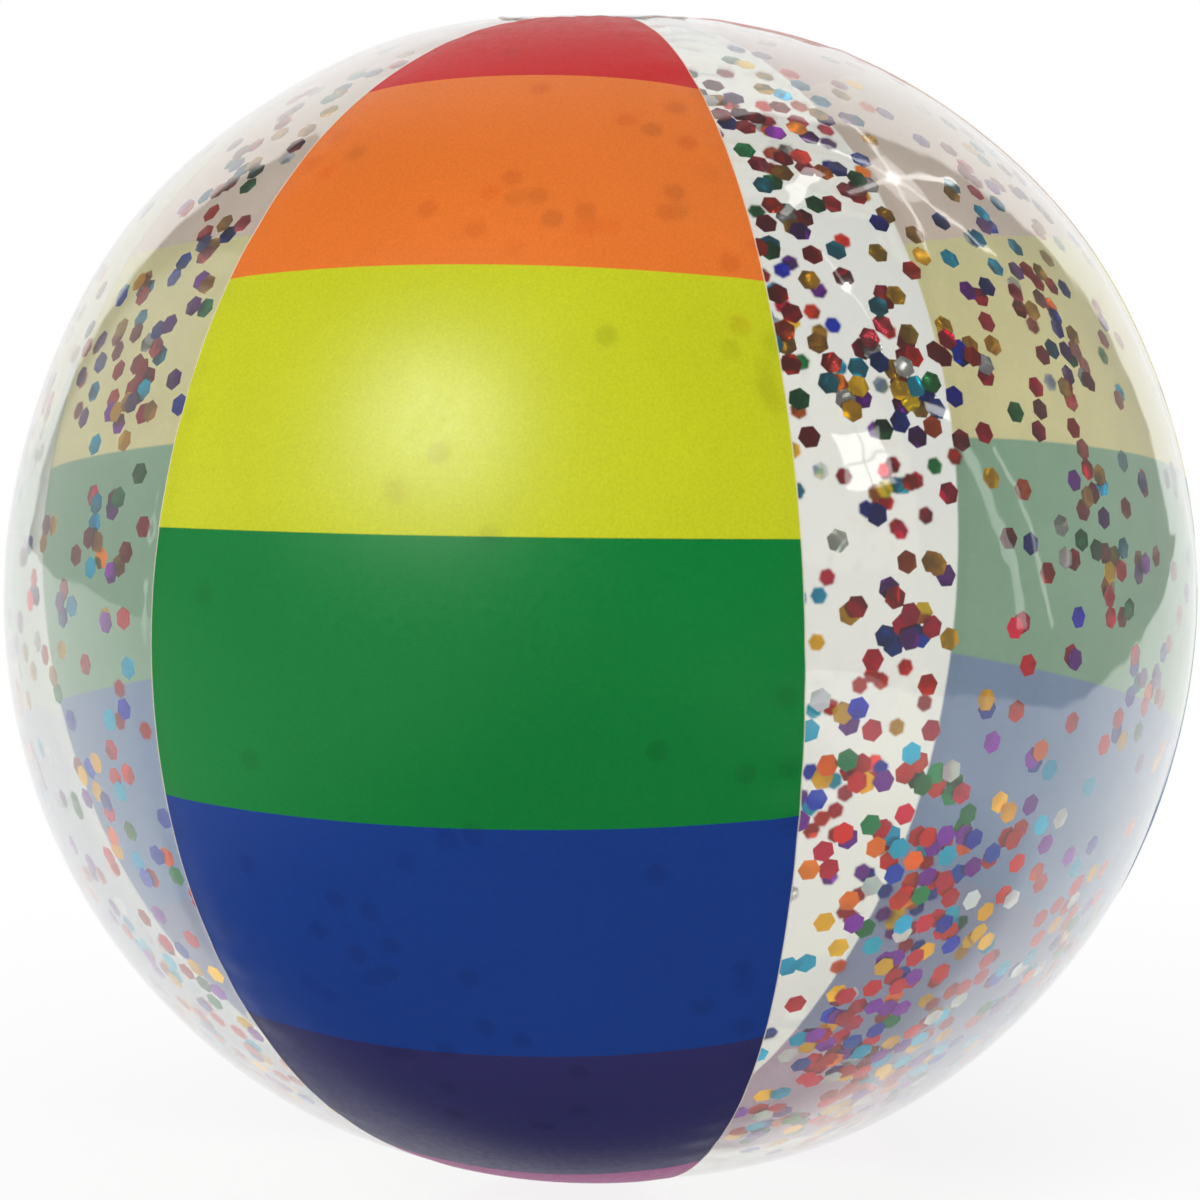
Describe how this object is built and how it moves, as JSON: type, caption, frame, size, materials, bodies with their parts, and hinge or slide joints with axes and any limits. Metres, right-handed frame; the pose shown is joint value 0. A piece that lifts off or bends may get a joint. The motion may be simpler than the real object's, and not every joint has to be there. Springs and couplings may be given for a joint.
{
  "type": "inflatable beach ball",
  "caption": "Inflated beach ball of alternating rainbow-printed and clear welded panels, with end discs, a push-in valve and loose hexagonal glitter inside.",
  "frame": {"origin": "centre of the inflated ball", "axes": "+Z through the middle of the top end disc, -Y through the middle of the front printed panel, +Y along the valve's axis, pointing out of its mouth"},
  "size_m": [0.392, 0.3943, 0.38],
  "materials": {
    "printed_film": "satin",
    "clear_film": "gloss",
    "disc_film": "gloss",
    "valve_vinyl": "gloss",
    "flap_film": "gloss",
    "foil_red": "gloss",
    "foil_gold": "gloss",
    "foil_cyan": "gloss",
    "foil_blue": "gloss",
    "foil_purple": "gloss",
    "foil_green": "gloss",
    "foil_silver": "gloss",
    "foil_orange": "gloss"
  },
  "bodies": {
    "ball": {"panel_print_front": "printed_film", "panel_print_back_right": "printed_film", "panel_print_back_left": "printed_film", "panel_clear_front_right": "clear_film", "panel_clear_back": "clear_film", "panel_clear_front_left": "clear_film", "end_disc_top": "disc_film", "end_disc_bottom": "disc_film", "valve_flange": "valve_vinyl", "valve_skirt": "valve_vinyl", "glitter_red": "foil_red", "glitter_gold": "foil_gold", "glitter_cyan": "foil_cyan", "glitter_blue": "foil_blue", "glitter_purple": "foil_purple", "glitter_green": "foil_green", "glitter_silver": "foil_silver", "glitter_orange": "foil_orange"},
    "stem": {"valve_stem": "valve_vinyl", "valve_strap": "valve_vinyl"},
    "stopper": {"valve_stopper": "valve_vinyl"},
    "flap": {"valve_flap": "flap_film"}
  },
  "joints": [
    {"name": "stem_pop_out", "type": "slide", "parent": "ball", "child": "stem", "axis": [0, 1, 0], "range_m": [0, 0.0125], "deforming": ["valve_skirt"]},
    {"name": "stopper_pull", "type": "slide", "parent": "stem", "child": "stopper", "axis": [0, 1, 0], "range_m": [0, 0.011], "deforming": ["valve_strap"]},
    {"name": "check_flap_swing", "type": "hinge", "parent": "stem", "child": "flap", "pos_m": [0, 0.18075, 0.00475], "axis": [-1, 0, 0], "range_deg": [0, 38]}
  ]
}
